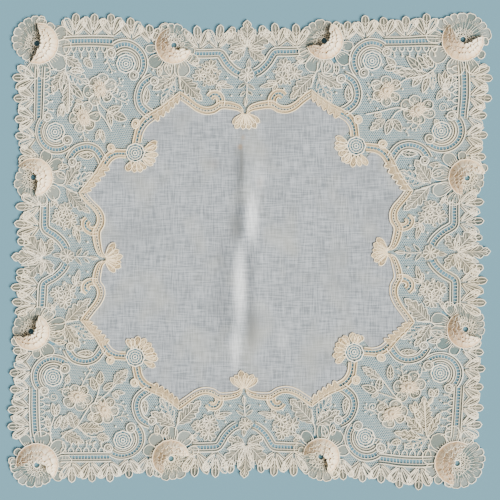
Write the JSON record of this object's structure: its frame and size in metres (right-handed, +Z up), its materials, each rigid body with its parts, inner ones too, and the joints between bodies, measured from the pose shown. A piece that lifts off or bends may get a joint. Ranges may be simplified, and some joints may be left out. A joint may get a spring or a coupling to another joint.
{
  "type": "lace handkerchief",
  "caption": "Square handkerchief lying flat: a sheer linen centre with a soft ironed fold, inside a wide border of needle lace with raised roses, leaves, scrolls and wheels.",
  "frame": {"origin": "middle of the square, on the surface that it lies on", "axes": "+Z up out of the cloth; +Y towards the edge at the top of the square, +X towards its right edge"},
  "size_m": [0.3348, 0.3297, 0.0077],
  "materials": {
    "linen": "sheer plain weave",
    "lace": "cotton needle lace on fine net",
    "raised_petals": "ruffled layered needle lace",
    "flower_hearts": "padded thread rings"
  },
  "bodies": {
    "root": {"linen_centre": "linen", "lace_border": "lace", "rose_petals_top_left_corner": "raised_petals", "rose_petals_top_left": "raised_petals", "rose_petals_top_right": "raised_petals", "rose_petals_top_right_corner": "raised_petals", "rose_petals_right_upper": "raised_petals", "rose_petals_right_lower": "raised_petals", "rose_petals_bottom_right_corner": "raised_petals", "rose_petals_bottom_right": "raised_petals", "rose_petals_bottom_left": "raised_petals", "rose_petals_bottom_left_corner": "raised_petals", "rose_petals_left_lower": "raised_petals", "rose_petals_left_upper": "raised_petals", "flower_heart_top_left_1": "flower_hearts", "flower_heart_top_left_2": "flower_hearts", "flower_heart_top_right_1": "flower_hearts", "flower_heart_top_right_2": "flower_hearts", "flower_heart_bottom_left_1": "flower_hearts", "flower_heart_bottom_left_2": "flower_hearts", "flower_heart_bottom_right_1": "flower_hearts", "flower_heart_bottom_right_2": "flower_hearts"}
  },
  "joints": []
}
